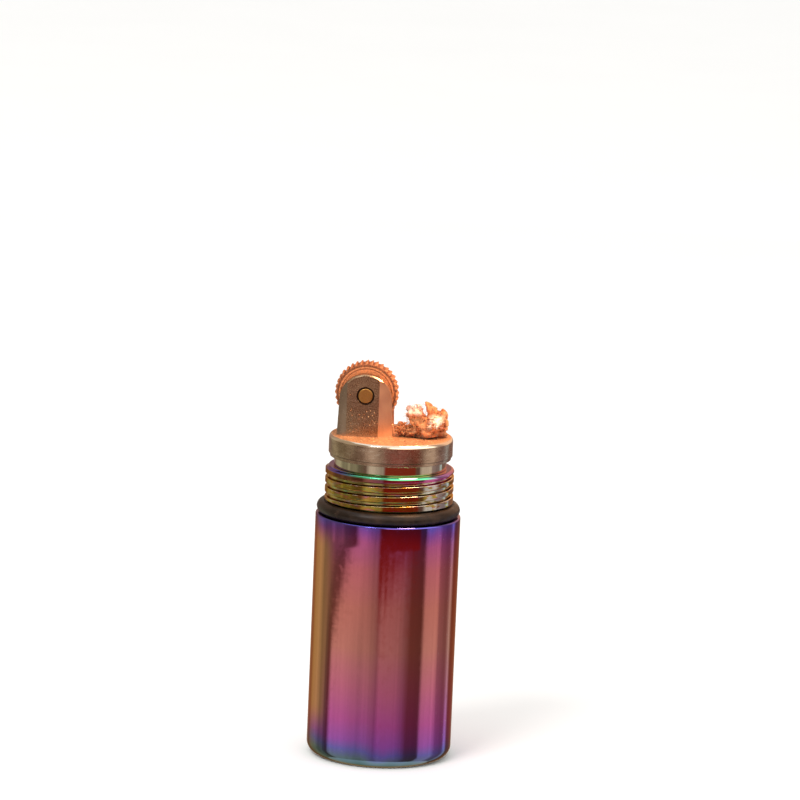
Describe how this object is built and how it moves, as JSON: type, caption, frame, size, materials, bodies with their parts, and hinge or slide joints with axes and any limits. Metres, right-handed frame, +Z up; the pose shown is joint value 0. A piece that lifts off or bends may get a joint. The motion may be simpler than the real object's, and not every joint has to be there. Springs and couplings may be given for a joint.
{
  "type": "capsule fluid lighter",
  "caption": "Pocket fluid lighter with a threaded cylindrical cup, seal ring, pull-out wick plug, flint tube and toothed spark wheel; cap off.",
  "frame": {"origin": "middle of the cup's base, on the surface that the lighter stands on", "axes": "+Z up along the cup's axis; the spark wheel stands on the -X side of the plug and the wick on the +X side; the wheel's axle lies along Y"},
  "size_m": [0.015, 0.015, 0.0413],
  "materials": {
    "iridescent_cup": "mirror-polished, rainbow vapour-coated metal",
    "nickel_plate": "nickel plating, dulled by handling and soot",
    "wheel_steel": "hardened steel, coated with flint dust",
    "brass": "drawn brass, tarnished",
    "spring_steel": "drawn spring wire",
    "flint_alloy": "pressed sparking alloy",
    "seal_rubber": "smooth moulded rubber",
    "wick_cotton": "frayed cotton, scorched",
    "felt": "pressed felt",
    "cotton_wool": "loose cotton wool"
  },
  "bodies": {
    "cup": {"fuel_cup": "iridescent_cup", "cap_seal_ring": "seal_rubber", "felt_pad": "felt", "cotton_wad_lower": "cotton_wool", "cotton_wad_middle": "cotton_wool", "cotton_wad_upper": "cotton_wool"},
    "insert": {"plug": "nickel_plate", "wheel_bracket": "nickel_plate", "wheel_axle": "brass", "flint_tube": "brass"},
    "wheel": {"spark_wheel": "wheel_steel"},
    "flint_carriage": {"flint": "flint_alloy", "flint_follower": "brass"},
    "screw_carriage": {"flint_spring": "spring_steel"},
    "screw": {"flint_screw": "brass"},
    "wick_braid": {"wick": "wick_cotton"}
  },
  "joints": [
    {"name": "insert_pull", "type": "slide", "parent": "cup", "child": "insert", "axis": [0, 0, 1], "range_m": [0, 0.024]},
    {"name": "wheel_spin", "type": "hinge", "parent": "insert", "child": "wheel", "pos_m": [-0.00268, 0, 0.038], "axis": [0, -1, 0], "continuous": true},
    {"name": "flint_feed", "type": "slide", "parent": "insert", "child": "flint_carriage", "axis": [0, 0, 1], "range_m": [-0.0015, 0], "stiffness_N_per_m": 300, "deforming": ["flint_spring"]},
    {"name": "screw_travel", "type": "slide", "parent": "insert", "child": "screw_carriage", "axis": [0, 0, -1], "range_m": [0, 0.004]},
    {"name": "screw_turn", "type": "hinge", "parent": "screw_carriage", "child": "screw", "pos_m": [-0.00268, 0, 0.0096], "axis": [0, 0, -1], "range_deg": [0, 2880]},
    {"name": "wick_pull", "type": "slide", "parent": "insert", "child": "wick_braid", "axis": [0, 0, 1], "range_m": [0, 0.005]}
  ],
  "couplings": [
    {"joint": "screw_turn", "follows": "screw_travel", "rad_per_m": 12566}
  ]
}
